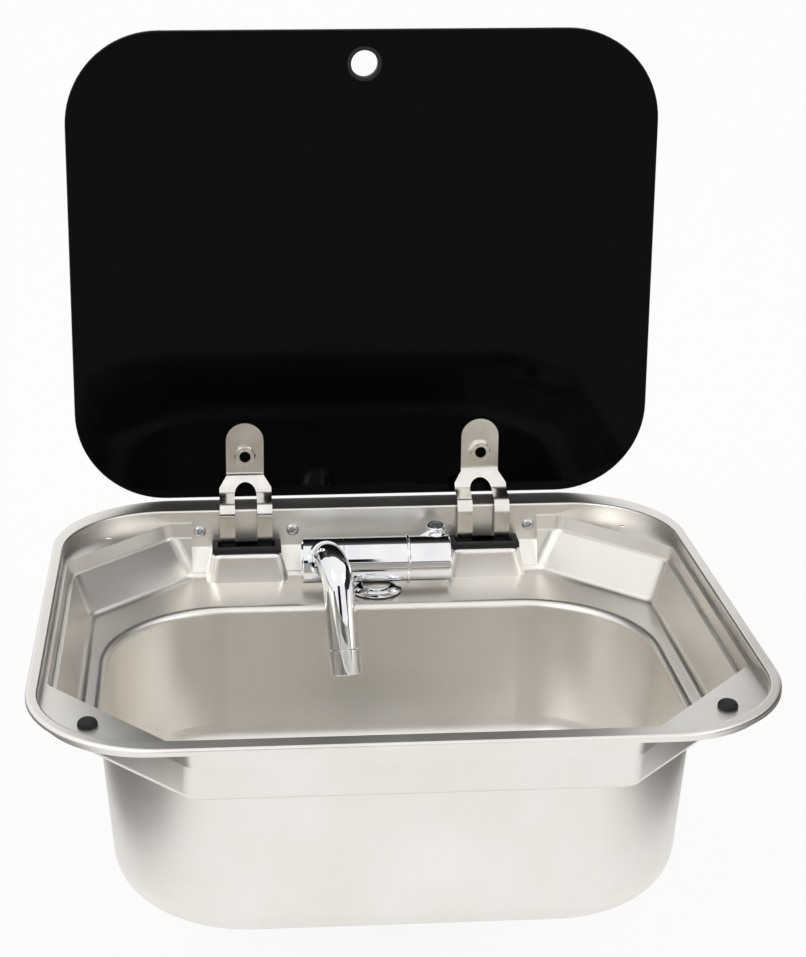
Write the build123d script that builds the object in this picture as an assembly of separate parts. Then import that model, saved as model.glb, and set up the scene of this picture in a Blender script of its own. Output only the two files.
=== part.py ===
from build123d import *
import os
from math import cos, radians, sin

# Inset sink for a caravan worktop, with a hinged glass lid and a folding tap.
# Millimetres. X runs left to right, Y front to back, Z up. The flange top is Z = 0
# and the origin is the middle of the flange outline.

# Pressed basin
SHEET = 0.8
RIM_W = 420.0
RIM_D = 370.0
RIM_R = 78.0
RIM_EDGE_R = 1.5
LIP_Z = -3.2
SEAL_Z = -3.6
SEAT_W = 405.0
SEAT_BACK = 162.0
SEAT_FRONT = -173.5
SEAT_R = 63.0
SEAT_Z = -8.5
STEP_Z = -18.0
DECK_Z = -45.0
FLOOR_Z = -145.0
PANEL_HALF = 119.5
PANEL_TOP_Z = -4.0
PANEL_LOW_Z = -26.3
SLOPE_Y = 152.0
SLOPE_Z = -41.0
MOUTH_R = 5.0
CREASE_R = 5.5
BUMPER_TOP_Z = -4.6
BOWL_W = 345.0
BOWL_BACK = 98.0
BOWL_FRONT = -144.0
BOWL_BACK_R = 76.0
BOWL_FRONT_R = 87.0
BOWL_DRAFT = 4.8
FLOOR_R = 22.0
DRAIN_Y = -26.0
DRAIN_DIP_R = 38.0
DRAIN_DIP = 3.0
DRAIN_HOLE_R = 26.0
STRAINER_Z = FLOOR_Z - DRAIN_DIP
DISH_Z = STRAINER_Z + 1.0
TAIL_R = 12.7
TAIL_DROP = 46.0
SHELF_HOLES_BACK = (175.0, 137.0)
SHELF_HOLES_FRONT = (174.5, -137.5)
SHELF_HOLE_R = 2.3

# Lid and its hinges, drawn with the lid standing open
GLASS_W = 397.0
GLASS_H = 324.5
GLASS_T = 5.0
GLASS_R = 62.5
GLASS_FACE_Y = 184.7
GLASS_LOW_Z = 1.2
FINGER_DROP = 22.5
FINGER_HOLE_R = 10.2
FINGER_CLEAR_R = 9.0
PIVOT_Y = 172.7
PIVOT_Z = -16.5
HINGE_X = 82.0
ARM_W = 36.0
ARM_T = 2.0
ARM_BENDS = [11.0, 11.0, 9.0, 2.6, 2.6, 2.6]
TAB_W = 26.0
TAB_TOP_Z = 56.0
PAD_T = 0.8
WINDOW_R = 7.6
BOLT_Z = 33.0
BOLT_R = 4.9
BOLT_BORE_R = 3.9
PIN_R = 3.0
RUN_FIT = 0.05
EYE_R = 5.0
BUMP_FOOT = (59.0, 31.0)
BUMP_FOOT_Y = 156.5
BUMP_HEAD = (48.0, 29.0)
BUMP_HEAD_Y = 158.0
BUMP_SIDE_R = 7.5
BUMP_TOP_R = 3.5
SLOT_W = 42.0
SLOT_FRONT = 147.3
SLOT_TOP_Z = -22.5
POCKET_TOP_Z = -25.5
FRAME_H = 3.6
BOOT_WALL = 1.2
BOOT_TOP_Z = -26.4
BOOT_LOW_Z = -36.0
BOOT_BACK = 187.2
BRACKET_LOW_Z = -23.5
BRACKET_TOP_Z = -6.5
BRACKET_BACK = 180.0
PLATE_T = 1.5
CHEEK_X = 20.4
SCREW_PITCH = 64.0
SCREW_Z = -15.0
SCREW_R = 2.0

# Tap
HUB_X = 4.5
HUB_Y = 124.0
SHANK_R = 11.0
BARREL_Y = 131.5
BARREL_Z = -26.0
BARREL_R = 15.3
SEAM_X = -17.3
LEFT_X = -45.2
RING_X = 25.5
HANDLE_X = 27.6
RIGHT_X = 55.4
RING_H = 1.3
SPOUT_X = -33.5
BOSS_R = 11.6
BOSS_LENGTH = 18.5
ROOT_DEPTH = 6.7
BOSS_YAW = 14.0
BOSS_TILT = 25.0
TUBE_R = 10.3
TUBE_BORE_R = 8.8
SPOUT_BEND_R = 19.0
SPOUT_BEND = 97.5
SPOUT_REACH = 0.4
SPOUT_DROP = 38.5
TIP_LENGTH = 17.0
ROOT_R = 8.0
INLET_X = 5.4
INLET_R = 4.0
INLET_DEPTH = 14.0
SPIGOT_R = 9.2
HUB_TOP_Z = -41.0
LEVER_X = 47.0
LEVER_LEAN = 30.0
LEVER_END_Y = 142.3
LEVER_END_Z = -6.5
LEVER_END_TILT = 10.0
LEVER_R = 6.2
BUTTON_R = 4.7


# The four cut-corner plans of the recess, from the lid seat down to the deck: half width,
# back, front, then where the back cuts and the front cuts meet the sides and the ends.
STEP_TOP_PLAN = (200.0, 160.0, -171.0, 136.0, 97.0, -86.0, 120.0)
STEP_LOW_PLAN = (198.5, 158.8, -169.5, 135.0, 96.5, -86.5, 119.0)
WELL_TOP_PLAN = (196.0, 156.5, -166.5, 132.0, 95.0, -88.0, 119.0)
WELL_LOW_PLAN = (186.0, 151.0, -156.5, 119.0, 88.0, -89.0, 120.0)
STEP_CORNER_R = 9.0
WELL_CORNER_R = 12.0


def rounded_block(width, front, back, radius, low, high):
    """A block with round corners in plan, between two heights."""
    middle = (front + back) / 2
    plan = Pos(0, middle, low) * RectangleRounded(width, back - front, radius)
    return extrude(plan, high - low)


def octagon(half, back, front, cut_x, cut_back, cut_front, cut_low, height, grow, radius):
    """An eight-sided plan with its four corners cut off, softened at each vertex."""
    x = half + grow
    b = back + grow
    f = front - grow
    shift = grow * 0.41
    cx = cut_x + shift
    fx = cut_low + shift
    cb = cut_back + shift
    cf = cut_front - shift
    points = [(x, cb), (cx, b), (-cx, b), (-x, cb), (-x, cf), (-fx, f), (fx, f), (x, cf)]
    face = make_face(Polyline(*points, close=True).edges())
    return Pos(0, 0, height) * fillet(face.vertices(), radius + grow)


def recess_stage(top, bottom, top_z, bottom_z, grow, radius):
    """One drafted step of the recess, lofted between two cut-corner plans."""
    upper = octagon(*top, top_z, grow, radius)
    lower = octagon(*bottom, bottom_z, grow, radius)
    return loft([lower, upper], ruled=True)


def hinge_bump(side, shrink):
    """The raised form that each lid hinge turns in."""
    less = 2 * shrink
    foot = Rectangle(BUMP_FOOT[0] - less, BUMP_FOOT[1] - less)
    head = Rectangle(BUMP_HEAD[0] - less, BUMP_HEAD[1] - less)
    x = side * HINGE_X
    low = Pos(x, BUMP_FOOT_Y, DECK_Z - 3) * foot
    high = Pos(x, BUMP_HEAD_Y, POCKET_TOP_Z - shrink) * head
    bump = loft([low, high], ruled=True)
    front = bump.faces().sort_by(Axis.Y)[0]
    uprights = front.edges().sort_by(Axis.Z)[1:3]
    bump = fillet(uprights, BUMP_SIDE_R - shrink)
    rim_edges = bump.faces().sort_by(Axis.Z)[-1].edges()
    return fillet([e for e in rim_edges if e.center().Y < SEAT_BACK + 3], BUMP_TOP_R - shrink)


def back_panel(grow):
    """The upright panel that carries the hinges, above a slope down to the deck."""
    front = SLOPE_Y - 32
    wall = SEAT_BACK + grow
    points = [(front, PANEL_TOP_Z), (wall, PANEL_TOP_Z), (wall, PANEL_LOW_Z), (SLOPE_Y, SLOPE_Z),
              (front, SLOPE_Z)]
    face = Plane.YZ * make_face(Polyline(*points, close=True).edges())
    return Pos(-PANEL_HALF - grow, 0, 0) * extrude(face, 2 * (PANEL_HALF + grow), dir=(1, 0, 0))


def cavity(grow):
    """The hollow of the basin, or its outside when grown by the sheet thickness."""
    top = 1.0 if grow == 0 else -SHEET / 2
    hollow = rounded_block(
        SEAT_W + 2 * grow, SEAT_FRONT - grow, SEAT_BACK + grow, SEAT_R + grow, SEAT_Z - grow, top
    )
    step_low = STEP_Z - grow
    hollow += recess_stage(STEP_TOP_PLAN, STEP_LOW_PLAN, SEAT_Z, step_low, grow, STEP_CORNER_R)
    deck = DECK_Z - grow
    well = recess_stage(WELL_TOP_PLAN, WELL_LOW_PLAN, STEP_Z, deck, grow, WELL_CORNER_R)
    hollow += fillet(well.faces().sort_by(Axis.Z)[0].edges(), CREASE_R + grow)
    hollow += back_panel(grow)
    plan = Rectangle(BOWL_W + 2 * grow, BOWL_BACK - BOWL_FRONT + 2 * grow)
    plan = fillet(plan.vertices().sort_by(Axis.Y)[2:], BOWL_BACK_R + grow)
    plan = fillet(plan.vertices().sort_by(Axis.Y)[:2], BOWL_FRONT_R + grow)
    plan = Pos(0, (BOWL_BACK + BOWL_FRONT) / 2, DECK_Z - grow) * plan
    bowl = extrude(plan, DECK_Z - FLOOR_Z, dir=(0, 0, -1), taper=BOWL_DRAFT)
    bowl = fillet(bowl.faces().sort_by(Axis.Z)[0].edges(), FLOOR_R + grow)
    hollow += bowl
    middles = [e.center() for e in plan.edges()]
    mouth = [e for e in hollow.edges() if min((e.center() - m).length for m in middles) < 0.5]
    hollow = fillet(mouth, MOUTH_R - grow)
    dip = Pos(0, DRAIN_Y, FLOOR_Z - DRAIN_DIP - grow) * Cylinder(
        DRAIN_DIP_R + grow, DRAIN_DIP + 1, align=(Align.CENTER, Align.CENTER, Align.MIN)
    )
    hollow += dip
    for side in (-1, 1):
        hollow -= hinge_bump(side, grow)
    return hollow


def disc(radius, low, high, x=0.0, y=0.0):
    """An upright cylinder between two heights."""
    rod = Cylinder(radius, high - low, align=(Align.CENTER, Align.CENTER, Align.MIN))
    return Pos(x, y, low) * rod


def ring(outer, inner, low, high, x=0.0, y=0.0):
    """An upright tube between two heights."""
    return disc(outer, low, high, x, y) - disc(inner, low - 1, high + 1, x, y)


def turned(points):
    """A round piece turned about Z from a closed profile of (radius, height) points."""
    profile = make_face(Polyline(*points, close=True).edges())
    return revolve(Plane.XZ * profile, Axis.Z)


def rod_x(radius, left, right, y=BARREL_Y, z=BARREL_Z):
    """A cylinder along X between two stations."""
    return Pos(left, y, z) * Rot(0, 90, 0) * Cylinder(
        radius, right - left, align=(Align.CENTER, Align.CENTER, Align.MIN)
    )


def rod_y(radius, front, back, x, z):
    """A cylinder along Y between two stations."""
    return Pos(x, front, z) * Rot(-90, 0, 0) * Cylinder(
        radius, back - front, align=(Align.CENTER, Align.CENTER, Align.MIN)
    )


def boss_way():
    """The direction of the spout's turning axis: forward, up and a little to the right."""
    yaw = radians(BOSS_YAW)
    tilt = radians(BOSS_TILT)
    return Vector(sin(yaw) * cos(tilt), -cos(yaw) * cos(tilt), sin(tilt))


def rod_boss(radius, near, far):
    """A cylinder on the spout's turning axis, between two distances from the barrel axis."""
    start = Vector(SPOUT_X, BARREL_Y, BARREL_Z) + boss_way() * near
    return Plane(origin=start, z_dir=boss_way()) * Cylinder(
        radius, far - near, align=(Align.CENTER, Align.CENTER, Align.MIN)
    )


def box(x0, x1, y0, y1, z0, z1):
    """A block given by its two corners."""
    middle = ((x0 + x1) / 2, (y0 + y1) / 2, (z0 + z1) / 2)
    return Pos(*middle) * Box(x1 - x0, y1 - y0, z1 - z0)


def rim():
    """The flat flange with its rolled outer lip, before the recess is opened."""
    outer = rounded_block(RIM_W, -RIM_D / 2, RIM_D / 2, RIM_R, LIP_Z, 0)
    outer = fillet(outer.faces().sort_by(Axis.Z)[-1].edges(), 1.8)
    inner = rounded_block(
        RIM_W - 2 * SHEET, SHEET - RIM_D / 2, RIM_D / 2 - SHEET, RIM_R - SHEET, LIP_Z - 1, -SHEET
    )
    inner = fillet(inner.faces().sort_by(Axis.Z)[-1].edges(), 1.0)
    return outer - inner


def inside_flange(edge):
    """True for an edge on the recess side of the flange."""
    place = edge @ 0.5
    return abs(place.X) < SEAT_W / 2 + 0.1 and SEAT_FRONT - 0.1 < place.Y < SEAT_BACK + 0.1


def basin():
    """The sink pressing: flange, lid seat, cut-corner recess, bowl and its openings."""
    shell = rim() + cavity(SHEET)
    shell -= cavity(0)
    inner = [e for e in shell.edges() if abs(e.center().Z) < 0.01]
    inner = [e for e in inner if abs(e.bounding_box().max.Z - e.bounding_box().min.Z) < 0.02]
    shell = fillet([e for e in inner if inside_flange(e)], RIM_EDGE_R)
    for side in (-1, 1):
        x = side * HINGE_X
        shell -= box(x - SLOT_W / 2, x + SLOT_W / 2, SLOT_FRONT, 165, -34, SLOT_TOP_Z)
        for end in (-1, 1):
            shell -= rod_y(SCREW_R + 0.2, 159, 166, x + end * SCREW_PITCH / 2, SCREW_Z)
        for spot in (SHELF_HOLES_BACK, SHELF_HOLES_FRONT):
            shell -= disc(SHELF_HOLE_R, -14, -4, side * spot[0], spot[1])
    shell -= disc(SHANK_R + 0.5, -50, -40, HUB_X, HUB_Y)
    shell -= disc(DRAIN_HOLE_R, -160, -145, 0, DRAIN_Y)
    return shell


def rim_seal():
    """The soft strip under the flange, just inside the lip."""
    strip = rounded_block(416.2, -183.1, 183.1, 76.1, SEAL_Z, -SHEET)
    return strip - rounded_block(408.4, -179.2, 179.2, 72.2, SEAL_Z - 1, 0.0)


def lid_bumper(side):
    """A domed rubber button pushed into a front shelf hole."""
    button = disc(5.6, SEAT_Z, BUMPER_TOP_Z)
    button = fillet(button.edges().sort_by(Axis.Z)[-1], 3.0)
    button += disc(2.25, SEAT_Z - 3.4, SEAT_Z)
    button += Pos(0, 0, SEAT_Z - 2.4) * Cone(2.0, 3.4, 1.5)
    return Pos(side * SHELF_HOLES_FRONT[0], SHELF_HOLES_FRONT[1], 0) * button


def slot_gasket(side):
    """The rubber frame round a hinge slot, moulded in one with the boot that the arm folds into."""
    x0 = side * HINGE_X
    outer = SLOT_W / 2 - 0.1
    inner = outer - BOOT_WALL
    front = SLOT_FRONT + 0.1
    low = POCKET_TOP_Z
    frame = box(x0 - 23.5, x0 + 23.5, SLOT_FRONT - 2.3, 161.9, low, low + FRAME_H)
    frame = fillet(frame.faces().sort_by(Axis.Z)[-1].edges().sort_by(Axis.Y)[0], 1.2)
    frame += box(x0 - outer, x0 + outer, front, 161.9, BOOT_TOP_Z - 1, low + 0.1)
    frame += box(x0 - outer, x0 + outer, front, BOOT_BACK, BOOT_LOW_Z, BOOT_TOP_Z)
    hollow = box(
        x0 - inner, x0 + inner, front + BOOT_WALL, BOOT_BACK - BOOT_WALL, BOOT_LOW_Z + BOOT_WALL, 0
    )
    return frame - hollow


def glass_lid():
    """The toughened glass, standing open behind the flange."""
    top = GLASS_LOW_Z + GLASS_H
    face = Plane.XZ * Pos(0, GLASS_LOW_Z + GLASS_H / 2) * RectangleRounded(
        GLASS_W, GLASS_H, GLASS_R
    )
    pane = Pos(0, GLASS_FACE_Y, 0) * extrude(face, GLASS_T, dir=(0, 1, 0))
    faces = pane.faces().sort_by(Axis.Y)
    pane = chamfer(faces[0].edges() + faces[-1].edges(), 0.7)
    pane -= rod_y(FINGER_HOLE_R, 180, 195, 0, top - FINGER_DROP)
    for side in (-1, 1):
        pane -= rod_y(BOLT_R + 0.5, 180, 195, side * HINGE_X, BOLT_Z)
    return pane


def finger_grommet():
    """The soft ring that lines the finger hole, lipped on both faces."""
    z = GLASS_LOW_Z + GLASS_H - FINGER_DROP
    front = GLASS_FACE_Y - 1.2
    back = GLASS_FACE_Y + GLASS_T + 1.2
    lips = rod_y(11.6, front, GLASS_FACE_Y, 0, z) + rod_y(11.6, GLASS_FACE_Y + GLASS_T, back, 0, z)
    lips = fillet(lips.edges().filter_by(GeomType.CIRCLE), 0.5)
    sleeve = rod_y(FINGER_HOLE_R, front + 0.3, back - 0.3, 0, z)
    return lips + sleeve - rod_y(FINGER_CLEAR_R, 180, 195, 0, z)


def hinge_arm(side):
    """A bent steel strip with a round tab, a window and two eyes for the pin."""
    y0 = GLASS_FACE_Y - PAD_T - ARM_T / 2
    spine = FilletPolyline(
        (y0, 60),
        (y0, 18),
        (175.0, 7.4),
        (156.9, 2.4),
        (156.9, -21.6),
        (160.0, -25.9),
        (166.0, -25.9),
        (PIVOT_Y, PIVOT_Z - EYE_R + ARM_T / 2),
        radius=ARM_BENDS,
    )
    spine = Plane.YZ * spine
    start = Plane(origin=spine @ 0, x_dir=(1, 0, 0), z_dir=spine % 0)
    strip = sweep(start * Rectangle(ARM_W, ARM_T), path=spine)
    top = TAB_TOP_Z - TAB_W / 2
    half = TAB_W / 2
    sides = Polyline((-half, top), (-half, 18), (-ARM_W / 2, 11), (-ARM_W / 2, -40))
    sides += Polyline((-ARM_W / 2, -40), (ARM_W / 2, -40), (ARM_W / 2, 11), (half, 18), (half, top))
    crown = ThreePointArc((half, top), (0, TAB_TOP_Z), (-half, top))
    outline = Plane.XZ * make_face(sides.edges() + crown.edges())
    outline = Pos(0, 200, 0) * extrude(outline, 60, dir=(0, -1, 0))
    arm = strip & outline
    arm += rod_x(EYE_R, -ARM_W / 2, ARM_W / 2, PIVOT_Y, PIVOT_Z)
    window = rod_y(WINDOW_R, 140, 190, 0, 6.6) + box(-WINDOW_R, WINDOW_R, 140, 190, -40, 6.6)
    arm -= window
    arm -= rod_x(PIN_R + RUN_FIT, -30, 30, PIVOT_Y, PIVOT_Z)
    arm -= rod_y(BOLT_R + 0.2, 175, 190, 0, BOLT_Z)
    return Pos(side * HINGE_X, 0, 0) * arm


def both_sides(make):
    """The same small piece at the left and the right hinge, as one group."""
    return Compound(children=[Pos(side * HINGE_X, 0, 0) * make() for side in (-1, 1)])


def lid_pad():
    """A soft washer between the arm tab and the glass."""
    front = GLASS_FACE_Y - PAD_T
    return rod_y(12, front, GLASS_FACE_Y, 0, BOLT_Z) - rod_y(BOLT_R + 0.5, 180, 190, 0, BOLT_Z)


def lid_bolt():
    """A hollow bolt through the glass, with a low disc head on the outside."""
    back = GLASS_FACE_Y + GLASS_T
    front = GLASS_FACE_Y - PAD_T - ARM_T
    head = rod_y(10, back, back + 1.8, 0, BOLT_Z)
    head = fillet(head.faces().sort_by(Axis.Y)[-1].edges(), 1.0)
    shank = rod_y(BOLT_R, front - 4.6, back + 0.5, 0, BOLT_Z)
    return head + shank - rod_y(BOLT_BORE_R, front - 6, back - 1, 0, BOLT_Z)


def lid_nut():
    """The hexagon nut that clamps an arm tab to the glass."""
    front = GLASS_FACE_Y - PAD_T - ARM_T
    hexagon = Plane.XZ * Pos(0, BOLT_Z) * RegularPolygon(7.6, 6)
    nut = Pos(0, front, 0) * extrude(hexagon, 3.6, dir=(0, -1, 0))
    dish = Pos(0, front - 3.6, BOLT_Z) * Rot(-90, 0, 0) * Cone(6.4, 9.4, 4.0, align=(
        Align.CENTER, Align.CENTER, Align.MIN))
    nut &= dish
    return nut - rod_y(BOLT_R, front - 5, front + 1, 0, BOLT_Z)


def hinge_bracket():
    """The folded bracket behind the panel: a screw plate and two cheeks for the pin."""
    front = SEAT_BACK + SHEET
    back = front + PLATE_T
    body = box(-39, 39, front, back, BRACKET_LOW_Z, BRACKET_TOP_Z)
    for end in (-1, 1):
        near = end * CHEEK_X
        far = end * (CHEEK_X + PLATE_T)
        left, right = min(near, far), max(near, far)
        body += box(left, right, front, BRACKET_BACK, BRACKET_LOW_Z, BRACKET_TOP_Z)
        body -= rod_y(SCREW_R + 0.1, front - 1, back + 1, end * SCREW_PITCH / 2, SCREW_Z)
    return body - rod_x(PIN_R, -30, 30, PIVOT_Y, PIVOT_Z)


def hinge_pin():
    """The pin that an arm turns on, headed at one end."""
    pin = rod_x(PIN_R, -24.5, 25.5, PIVOT_Y, PIVOT_Z)
    pin += rod_x(4.6, -26.0, -22.0, PIVOT_Y, PIVOT_Z)
    return pin


def pin_clip():
    """The spring clip on the plain end of a hinge pin."""
    clip = rod_x(5.2, 22.0, 23.0, PIVOT_Y, PIVOT_Z) - rod_x(PIN_R, 20, 24, PIVOT_Y, PIVOT_Z)
    return clip - box(21, 24, PIVOT_Y - 1.2, PIVOT_Y + 1.2, PIVOT_Z - 7, PIVOT_Z)


def hinge_spacer():
    """The sleeve that keeps the two legs of an arm apart on the pin."""
    span = WINDOW_R - 0.1
    sleeve = rod_x(4.6, -span, span, PIVOT_Y, PIVOT_Z)
    return sleeve - rod_x(PIN_R + 0.08, -10, 10, PIVOT_Y, PIVOT_Z)


def hinge_screw():
    """A pan-head screw through the panel."""
    screw = rod_y(SCREW_R, 160.5, 169.0, 0, SCREW_Z)
    head = rod_y(4.2, 159.4, 162.0, 0, SCREW_Z)
    return screw + fillet(head.faces().sort_by(Axis.Y)[0].edges(), 1.6)


def hinge_nut():
    """The hexagon nut behind the bracket plate."""
    hexagon = Plane.XZ * Pos(0, SCREW_Z) * RegularPolygon(4.0, 6)
    nut = Pos(0, 164.3, 0) * extrude(hexagon, 3.0, dir=(0, 1, 0))
    return nut - rod_y(SCREW_R, 160, 170, 0, SCREW_Z)


def four_screws(make):
    """The same fastener at each end of both brackets, as one group."""
    spots = [s * HINGE_X + e * SCREW_PITCH / 2 for s in (-1, 1) for e in (-1, 1)]
    return Compound(children=[Pos(x, 0, 0) * make() for x in spots])


def tap_base():
    """The flared foot of the tap on the deck."""
    low = DECK_Z + 1.0
    points = [(SHANK_R + 0.1, low), (17.6, low), (17.6, low + 0.6), (14.4, low + 1.4),
              (12.8, low + 2.1), (SHANK_R + 0.1, low + 2.1)]
    return Pos(HUB_X, HUB_Y, 0) * turned(points)


def tap_body():
    """The fixed middle of the barrel, its hub, and the hollow shank through the deck."""
    body = rod_x(BARREL_R, SEAM_X + 0.15, RING_X)
    hub = disc(SHANK_R, -96, DECK_Z + 2.6) + disc(9.8, DECK_Z + 2.5, HUB_TOP_Z)
    hub = Pos(HUB_X, HUB_Y, 0) * chamfer(hub.faces().sort_by(Axis.Z)[-1].edges(), 0.4)
    web = box(HUB_X - 8.5, HUB_X + 8.5, HUB_Y + 5.5, 141, -41.7, -36)
    body += hub + web
    body += rod_x(SPIGOT_R, -40.5, SEAM_X + 1)
    body -= rod_x(11.0, 6.0, RING_X + 1)
    body -= rod_x(3.0, -41, -12)
    for end in (-1, 1):
        x = HUB_X + end * INLET_X
        body -= disc(INLET_R, -97, -96 + INLET_DEPTH, x, HUB_Y) + disc(3.0, -97, -50, x, HUB_Y)
    return body


def hexagon_nut(across, bore, low, high, x, y):
    """A plain hexagon nut on an upright thread."""
    nut = Pos(x, y, low) * extrude(RegularPolygon(across / 2, 6, major_radius=False), high - low)
    return nut - disc(bore, low - 1, high + 1, x, y)


def barrel_left():
    """The turning left part of the barrel, with the boss that the spout grows from."""
    part = rod_x(BARREL_R, LEFT_X, SEAM_X - 0.15)
    part = chamfer(part.faces().sort_by(Axis.X)[0].edges(), 0.6)
    part += rod_boss(BOSS_R, 0, BOSS_LENGTH - 0.2)
    part -= rod_x(SPIGOT_R + RUN_FIT, -41.0, SEAM_X + 1)
    part -= rod_x(12.0, LEFT_X - 1, -42.6)
    part -= rod_boss(ROOT_R + RUN_FIT, BOSS_LENGTH - ROOT_DEPTH - 2, BOSS_LENGTH + 4)
    return part


def barrel_cap():
    """The pressed-in cap on the left end of the barrel."""
    return rod_x(11.95, LEFT_X - 0.6, -42.6)


def spout_collar():
    """The stepped ring round the root of the spout tube."""
    back = BOSS_LENGTH - 0.2
    collar = rod_boss(BOSS_R, back, back + 1.0) + rod_boss(BOSS_R - 0.5, back, back + 1.8)
    collar -= rod_boss(TUBE_R + 0.08, BOSS_LENGTH, BOSS_LENGTH + 9)
    return collar - rod_boss(ROOT_R + 0.08, BOSS_LENGTH - 2, BOSS_LENGTH + 9)


def spout_path(first, last):
    """The centre line of the spout, from one distance behind the root to the tip."""
    bend = radians(SPOUT_BEND)
    end_s = SPOUT_REACH + SPOUT_BEND_R * sin(bend)
    end_h = SPOUT_BEND_R * (1 - cos(bend))
    half = bend / 2
    mid = (SPOUT_REACH + SPOUT_BEND_R * sin(half), SPOUT_BEND_R * (1 - cos(half)))
    far = (end_s + last * cos(bend), end_h + last * sin(bend))
    line = Line((first, 0), (SPOUT_REACH, 0))
    line += ThreePointArc((SPOUT_REACH, 0), mid, (end_s, end_h))
    line += Line((end_s, end_h), far)
    return line, (end_s, end_h), (cos(bend), sin(bend))


def spout_plane():
    """The upright plane of the spout: x runs out along the boss and y down from it."""
    yaw = radians(BOSS_YAW)
    root = Vector(SPOUT_X, BARREL_Y, BARREL_Z) + boss_way() * BOSS_LENGTH
    return Plane(origin=root, x_dir=boss_way(), z_dir=(cos(yaw), sin(yaw), 0))


def spout_tube():
    """The bent spout tube with a reduced root that turns in the barrel."""
    plane = spout_plane()
    line, _, _ = spout_path(0.0, SPOUT_DROP)
    path = plane * Wire(line.edges())
    start = Plane(origin=path @ 0, z_dir=path % 0)
    tube = sweep(start * Circle(TUBE_R), path=path)
    bore = sweep(start * Circle(TUBE_BORE_R), path=path)
    tube -= bore
    root = rod_boss(ROOT_R, BOSS_LENGTH - ROOT_DEPTH, BOSS_LENGTH + 0.1)
    root += rod_boss(9.2, BOSS_LENGTH, BOSS_LENGTH + 1.6)
    return tube + root - rod_boss(6.0, BOSS_LENGTH - 11, BOSS_LENGTH + 2.5)


def spout_tip():
    """The aerator housing and its insert, at the end of the spout."""
    _, start, way = spout_path(0.0, SPOUT_DROP)
    plane = spout_plane()
    s = start[0] + SPOUT_DROP * way[0]
    h = start[1] + SPOUT_DROP * way[1]
    origin = plane.from_local_coords((s, h, 0))
    ahead = plane.from_local_coords((s + way[0], h + way[1], 0))
    along = Plane(origin=origin, z_dir=ahead - origin)
    length = TIP_LENGTH
    low = (Align.CENTER, Align.CENTER, Align.MIN)
    housing = Pos(0, 0, 0.2) * Cylinder(TUBE_R + 0.2, length - 0.2, align=low)
    housing = chamfer(housing.edges().filter_by(GeomType.CIRCLE), 0.5)
    housing += Pos(0, 0, -5) * Cylinder(TUBE_BORE_R - 0.02, 5.5, align=low)
    housing -= Pos(0, 0, -6) * Cylinder(7.2, length + 8, align=low)
    housing -= Pos(0, 0, 4) * Cylinder(8.6, length, align=low)
    insert = Pos(0, 0, 4.0) * Cylinder(8.58, length - 6.5, align=low)
    insert -= Pos(0, 0, 6.0) * Cylinder(5.2, length, align=low)
    for turn in range(6):
        slot = Rot(0, 0, turn * 60) * Pos(6.9, 0, 9) * Box(1.6, 3.2, length, align=low)
        insert -= slot
    return along * housing, along * insert


def handle_ring():
    """The bright ring between the barrel and the handle."""
    band = rod_x(BARREL_R + RING_H, RING_X, HANDLE_X - 0.1)
    band = fillet(band.edges().filter_by(GeomType.CIRCLE), 0.8)
    return band - rod_x(8.0, RING_X - 1, HANDLE_X + 1)


def cartridge():
    """The valve cartridge inside the fixed barrel."""
    core = rod_x(10.95, 6.2, 22.0) + rod_x(7.9, 21.0, 28.6)
    return core - rod_x(4.0 + RUN_FIT, 12.0, 30)


def cartridge_stem():
    """The turning stem that joins the cartridge to the handle."""
    return rod_x(4.0, 12.2, 44.0)


def lever_end():
    """The plane of the lever's round end, which faces up and a little forward."""
    tilt = radians(LEVER_END_TILT)
    place = (LEVER_X, LEVER_END_Y, LEVER_END_Z)
    return Plane(origin=place, x_dir=(1, 0, 0), z_dir=(0, -sin(tilt), cos(tilt)))


def handle():
    """The turning right part of the barrel, with its swept lever."""
    shell = rod_x(BARREL_R, HANDLE_X, RIGHT_X)
    shell = fillet(shell.faces().sort_by(Axis.X)[-1].edges(), 1.2)
    lean = radians(LEVER_LEAN)
    up = (0, sin(lean), cos(lean))
    base = Plane(origin=(LEVER_X, BARREL_Y, BARREL_Z), x_dir=(1, 0, 0), z_dir=up)
    stages = [
        base.offset(BARREL_R - 2.5) * Circle(LEVER_R + 1.2),
        base.offset(BARREL_R + 0.8) * Circle(LEVER_R + 0.5),
        lever_end().offset(-2.4) * Circle(LEVER_R),
        lever_end() * Circle(LEVER_R - 0.2),
    ]
    knob = loft(stages)
    knob = fillet(knob.faces().sort_by(Axis.Z)[-1].edges(), 0.9)
    low = BARREL_R - 3
    points = [(30.5, low), (LEVER_X, low), (LEVER_X, 20.0), (41.0, 17.6)]
    fin_plan = Polyline(*points, close=True)
    side = Plane(origin=(0, BARREL_Y, BARREL_Z), x_dir=(1, 0, 0), z_dir=(0, -cos(lean), sin(lean)))
    fin = side.offset(-4.2) * make_face(fin_plan.edges())
    fin = extrude(fin, 8.4, dir=(0, -cos(lean), sin(lean)))
    shell += knob + fin
    shell -= rod_x(9.2, HANDLE_X - 1, 36.0)
    shell -= rod_x(4.0, 30, 44.1)
    shell -= rod_x(2.2, 44, 60)
    shell -= rod_x(5.0, RIGHT_X - 4.0, 60)
    return shell - lever_end().offset(-1.4) * Cylinder(
        BUTTON_R, 4, align=(Align.CENTER, Align.CENTER, Align.MIN))


def lever_button():
    """The round marker set in the end of the lever."""
    return lever_end().offset(-1.4) * Cylinder(
        BUTTON_R, 0.8, align=(Align.CENTER, Align.CENTER, Align.MIN))


def handle_screw():
    """The screw that holds the handle on the stem, under its cap."""
    return rod_x(2.2, 44.0, RIGHT_X - 3.8) + rod_x(4.0, RIGHT_X - 4.0, RIGHT_X - 1.8)


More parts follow.
